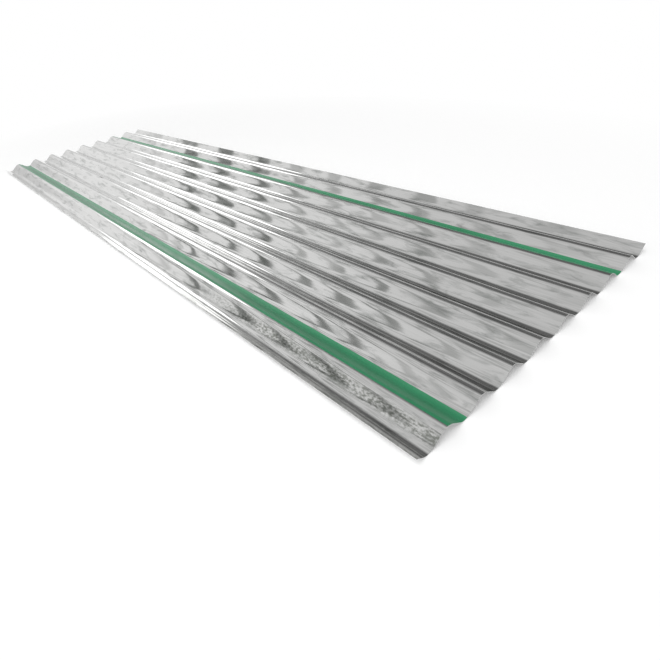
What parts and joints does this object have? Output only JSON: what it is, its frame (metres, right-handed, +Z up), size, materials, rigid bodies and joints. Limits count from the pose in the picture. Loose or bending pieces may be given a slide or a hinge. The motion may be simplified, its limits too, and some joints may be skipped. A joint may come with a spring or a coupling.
{
  "type": "corrugated roofing sheet",
  "caption": "Long thin corrugated aluminium roofing sheet with round waves running its length and two green painted stripes along it.",
  "frame": {"origin": "middle of the sheet's footprint, on the plane its valleys rest on", "axes": "+X across the waves, +Y along the waves (the way water would run), +Z up, away from what the sheet rests on"},
  "size_m": [0.66, 2.44, 0.02],
  "materials": {
    "sheet": "mill finish, bright rolled, with two green enamel stripes"
  },
  "bodies": {
    "root": {"corrugated_sheet": "sheet"}
  },
  "joints": []
}
